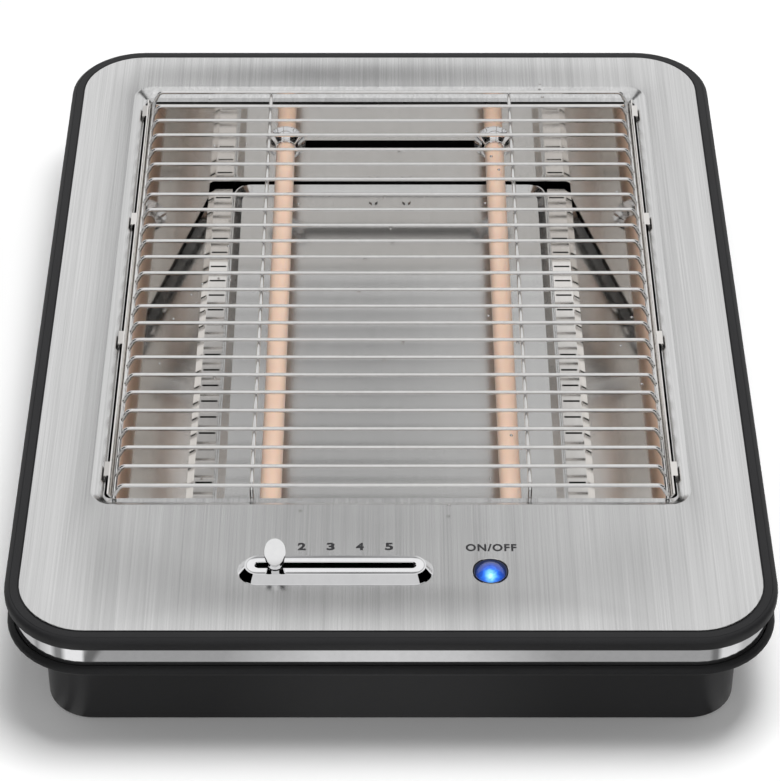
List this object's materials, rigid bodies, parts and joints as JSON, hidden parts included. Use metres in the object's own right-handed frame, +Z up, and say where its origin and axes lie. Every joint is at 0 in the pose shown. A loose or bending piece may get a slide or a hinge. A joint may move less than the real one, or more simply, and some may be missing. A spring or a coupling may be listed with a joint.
{
  "type": "electric toaster",
  "caption": "Flat electric toaster with an open wire rack over quartz tubes, a steel top plate in a black rim, a browning slider, a power button and a crumb drawer.",
  "frame": {"origin": "bottom centre of the overall box, on the surface it stands on", "axes": "+X to the right, +Y from the user to the back, +Z up"},
  "size_m": [0.283, 0.3764, 0.0703],
  "materials": {
    "steel_plate": "brushed along its length",
    "rim_plastic": "fine matte, black",
    "base_plastic": "fine matte, black",
    "bright_trim": "polished",
    "mirror_sheet": "polished sheet",
    "rack_steel": "drawn wire, bright",
    "tray_steel": "satin sheet",
    "zinc_steel": "zinc plated",
    "quartz": "opal",
    "coil_wire": "oxidised",
    "ceramic": "unglazed, off-white",
    "rubber_black": "matte",
    "knob_chrome": "plated",
    "lens_blue": "clear gloss, blue",
    "inner_plastic": "moulded",
    "board_green": "coated"
  },
  "bodies": {
    "body": {"base_housing": "base_plastic", "board_screws": "zinc_steel", "board_standoffs": "zinc_steel", "button_bezel": "bright_trim", "button_spring": "zinc_steel", "capacitor": "inner_plastic", "chamber_screws": "zinc_steel", "control_board": "board_green", "end_caps": "ceramic", "front_wall": "mirror_sheet", "heat_shield": "tray_steel", "heating_coil_left": "coil_wire", "heating_coil_right": "coil_wire", "housing_screws": "zinc_steel", "inlet_grommet": "rubber_black", "push_switch": "inner_plastic", "quartz_tube_left": "quartz", "quartz_tube_right": "quartz", "rack_cross_wires": "rack_steel", "rack_long_wires": "rack_steel", "rack_side_rods": "rack_steel", "rear_wall": "mirror_sheet", "relay": "inner_plastic", "rubber_feet": "rubber_black", "side_reflector_left": "mirror_sheet", "side_reflector_right": "mirror_sheet", "slide_potentiometer": "inner_plastic", "slider_bezel": "bright_trim", "status_led": "lens_blue", "terminal_block": "inner_plastic", "thermostat": "zinc_steel", "top_plate": "steel_plate", "tray_runner_left": "tray_steel", "tray_runner_right": "tray_steel", "trim_band": "bright_trim", "tube_brackets": "zinc_steel", "tube_rings": "bright_trim", "tube_terminals": "zinc_steel", "upper_rim": "rim_plastic"},
    "drawer": {"crumb_tray": "tray_steel", "tray_front": "base_plastic", "tray_rivets": "tray_steel", "tray_catch": "tray_steel"},
    "slider": {"slider_knob": "knob_chrome", "slider_lever": "zinc_steel"},
    "button": {"button_lens": "lens_blue", "button_plunger": "inner_plastic"}
  },
  "joints": [
    {"name": "drawer_slide", "type": "slide", "parent": "body", "child": "drawer", "axis": [0, 1, 0], "range_m": [0, 0.26]},
    {"name": "browning_slide", "type": "slide", "parent": "body", "child": "slider", "axis": [1, 0, 0], "range_m": [-0.0038, 0.0475]},
    {"name": "button_press", "type": "slide", "parent": "body", "child": "button", "axis": [0, 0, -1], "range_m": [0, 0.0015], "stiffness_N_per_m": 700, "springref_m": -0.001, "deforming": ["button_spring"]}
  ]
}
